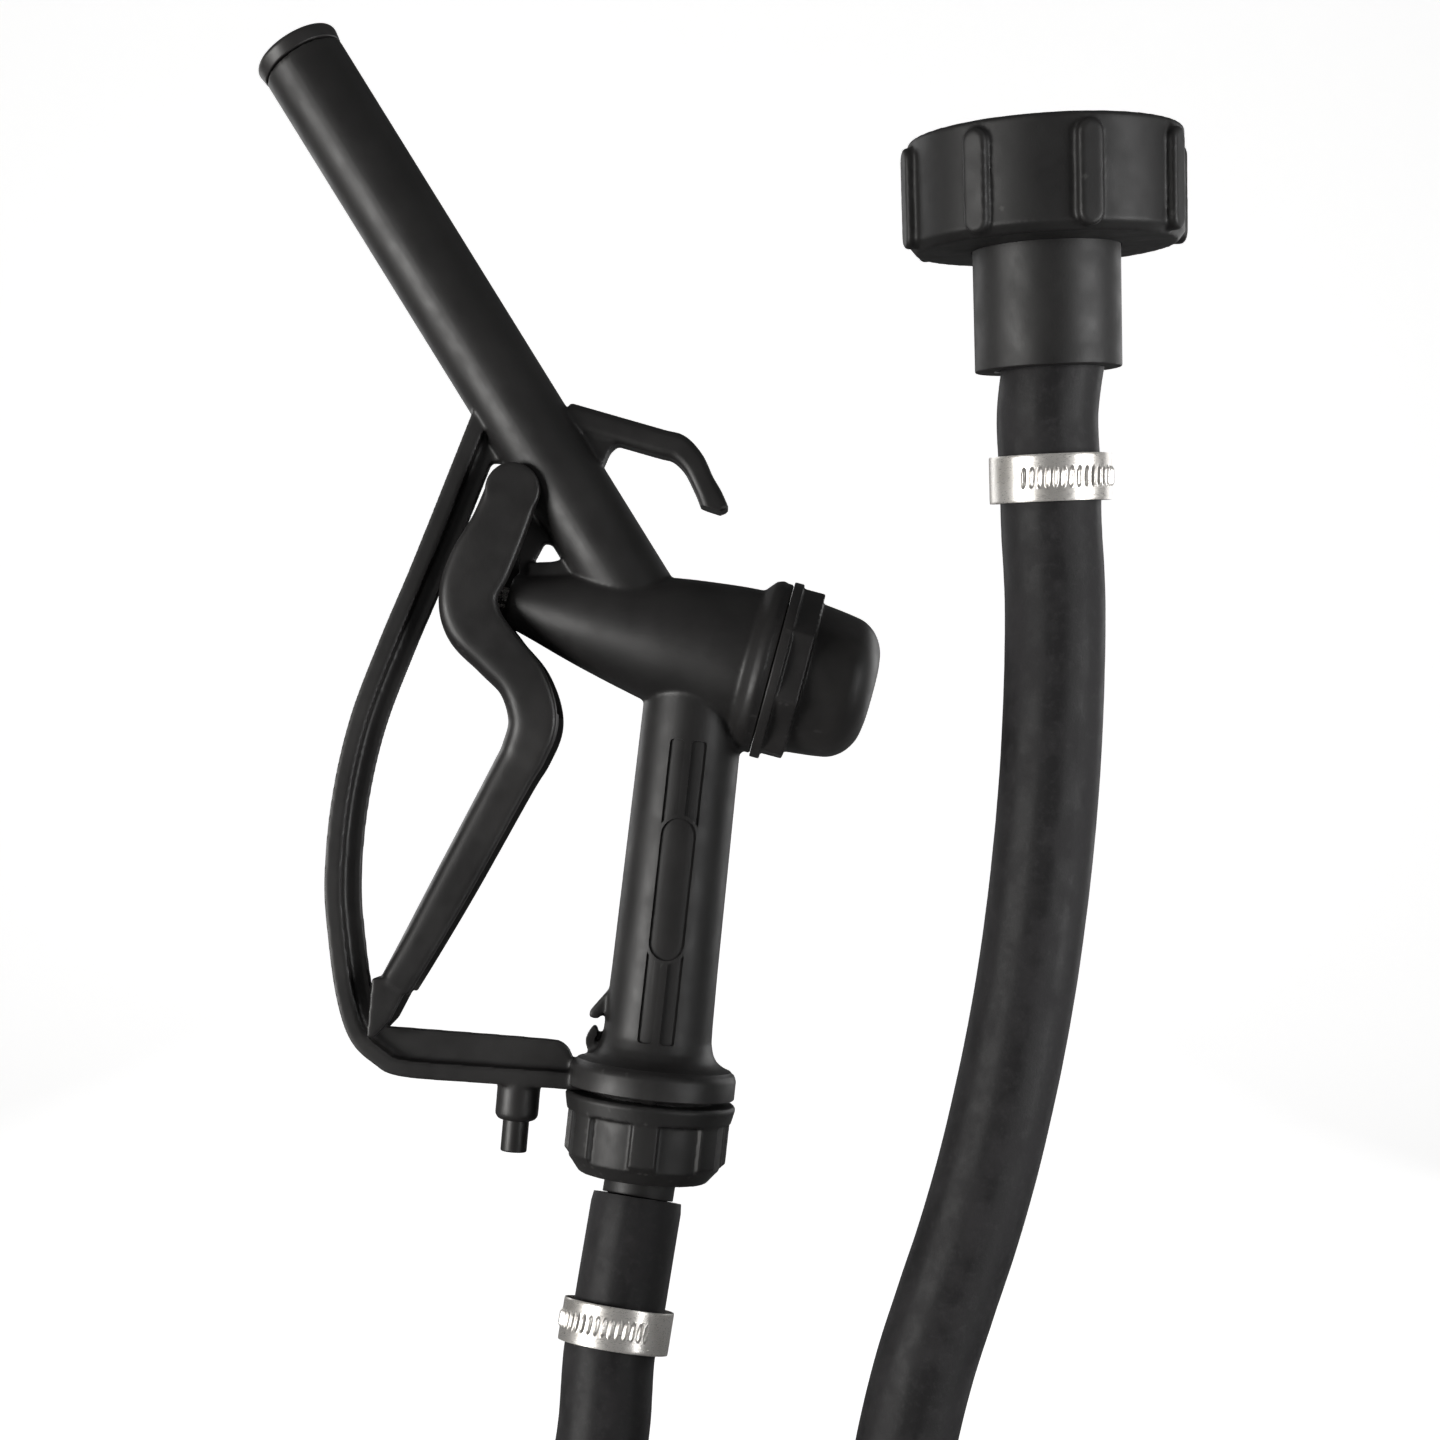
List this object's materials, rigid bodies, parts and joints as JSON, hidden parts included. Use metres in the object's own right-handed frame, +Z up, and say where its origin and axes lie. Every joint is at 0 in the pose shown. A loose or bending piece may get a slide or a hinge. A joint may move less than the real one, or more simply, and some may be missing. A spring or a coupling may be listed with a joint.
{
  "type": "fuel nozzle",
  "caption": "Gravity-feed hand nozzle with a guarded trigger lever, union nut, clamped rubber hose and a ribbed tank coupling.",
  "frame": {"origin": "on the underside of the hanging hook's arm, where a hanger rail bears", "axes": "+Z up with the nozzle hung and the spout pointing up and left, +X from the lever towards the valve cap, +Y away from the viewer"},
  "size_m": [0.2514, 0.131, 0.5307],
  "materials": {
    "nozzle_body": "satin moulded black plastic",
    "spout_end_ring": "satin moulded black plastic",
    "valve_cap": "satin moulded black plastic",
    "valve_stem": "plain bright steel",
    "valve_disc": "satin moulded black plastic",
    "valve_seal": "matt black rubber",
    "valve_spring": "plain bright steel",
    "valve_cap_seal": "matt black rubber",
    "stem_gland": "satin moulded black plastic",
    "stem_seal": "matt black rubber",
    "lever": "satin moulded black plastic",
    "lever_pivot_pin": "plain bright steel",
    "latch_pin": "satin moulded black plastic",
    "latch_spring": "plain bright steel",
    "union_nut": "satin moulded black plastic",
    "union_gasket": "matt black rubber",
    "hose_tail": "satin moulded black plastic",
    "hose": "matt black rubber",
    "lower_clamp_band": "bright stainless steel",
    "lower_clamp_housing": "bright stainless steel",
    "lower_clamp_screw": "bright stainless steel",
    "upper_clamp_band": "bright stainless steel",
    "upper_clamp_housing": "bright stainless steel",
    "upper_clamp_screw": "bright stainless steel",
    "coupling_nut": "satin moulded black plastic",
    "coupling_spigot": "satin moulded black plastic",
    "coupling_gasket": "matt black rubber",
    "coupling_tail": "satin moulded black plastic"
  },
  "bodies": {
    "nozzle": {"nozzle_body": "nozzle_body", "spout_end_ring": "spout_end_ring", "valve_cap": "valve_cap", "valve_cap_seal": "valve_cap_seal", "valve_spring": "valve_spring", "stem_gland": "stem_gland", "stem_seal": "stem_seal", "lever_pivot_pin": "lever_pivot_pin", "union_gasket": "union_gasket", "latch_spring": "latch_spring"},
    "trigger": {"lever": "lever"},
    "valve_rod": {"valve_stem": "valve_stem", "valve_disc": "valve_disc", "valve_seal": "valve_seal"},
    "latch": {"latch_pin": "latch_pin"},
    "union": {"union_nut": "union_nut"},
    "hose_line": {"hose_tail": "hose_tail", "hose": "hose", "lower_clamp_band": "lower_clamp_band", "lower_clamp_housing": "lower_clamp_housing", "upper_clamp_band": "upper_clamp_band", "upper_clamp_housing": "upper_clamp_housing", "coupling_spigot": "coupling_spigot", "coupling_tail": "coupling_tail", "coupling_gasket": "coupling_gasket"},
    "tank_nut": {"coupling_nut": "coupling_nut"},
    "lower_screw": {"lower_clamp_screw": "lower_clamp_screw"},
    "upper_screw": {"upper_clamp_screw": "upper_clamp_screw"}
  },
  "joints": [
    {"name": "lever_squeeze", "type": "hinge", "parent": "nozzle", "child": "trigger", "pos_m": [-0.0366, 0, -0.0126], "axis": [0, -1, 0], "range_deg": [0, 15]},
    {"name": "valve_lift", "type": "slide", "parent": "nozzle", "child": "valve_rod", "axis": [0.9659, 0, -0.2588], "range_m": [0, 0.0078], "deforming": ["valve_spring"]},
    {"name": "latch_push", "type": "slide", "parent": "nozzle", "child": "latch", "axis": [0.0872, 0, 0.9962], "range_m": [0, 0.005], "deforming": ["latch_spring"]},
    {"name": "union_nut_turn", "type": "hinge", "parent": "nozzle", "child": "union", "pos_m": [0.0157, 0, -0.0563], "axis": [-0.1094, 0, -0.994], "continuous": true},
    {"name": "hose_swing", "type": "hinge", "parent": "nozzle", "child": "hose_line", "pos_m": [-0.0003, 0, -0.2013], "axis": [0.1599, 0.1499, 0.9757], "range_deg": [-45, 90]},
    {"name": "tank_nut_turn", "type": "hinge", "parent": "hose_line", "child": "tank_nut", "pos_m": [0.1059, -0.0615, 0.0097], "axis": [-0.0401, -0.1447, 0.9887], "continuous": true},
    {"name": "lower_screw_turn", "type": "hinge", "parent": "hose_line", "child": "lower_screw", "pos_m": [-0.00839, 0.01285, -0.25063], "axis": [0.9868, 0, -0.1618], "continuous": true},
    {"name": "upper_screw_turn", "type": "hinge", "parent": "hose_line", "child": "upper_screw", "pos_m": [0.10688, -0.03753, -0.01457], "axis": [0.9992, 0, 0.0405], "continuous": true}
  ],
  "couplings": [
    {"joint": "valve_lift", "follows": "lever_squeeze", "m_per_rad": 0.0287}
  ]
}
